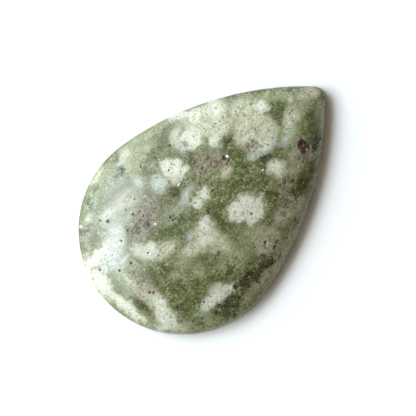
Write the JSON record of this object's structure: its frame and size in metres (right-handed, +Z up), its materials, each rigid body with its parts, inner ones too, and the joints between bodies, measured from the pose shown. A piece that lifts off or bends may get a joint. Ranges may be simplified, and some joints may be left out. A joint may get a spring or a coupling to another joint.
{
  "type": "frog jasper cabochon",
  "caption": "Polished teardrop cabochon of green and cream mottled jasper: a smooth dome over a narrow tapered girdle, with a flat bevelled back to glue or set in a bezel.",
  "frame": {"origin": "on the flat back, under the middle of the stone's length and width", "axes": "+X along the stone towards the tip, +Y across it, +Z up out of the dome"},
  "size_m": [0.0434, 0.03, 0.006],
  "materials": {
    "jasper": "polished, green with cream patches and dark specks"
  },
  "bodies": {
    "root": {"cabochon": "jasper"}
  },
  "joints": []
}
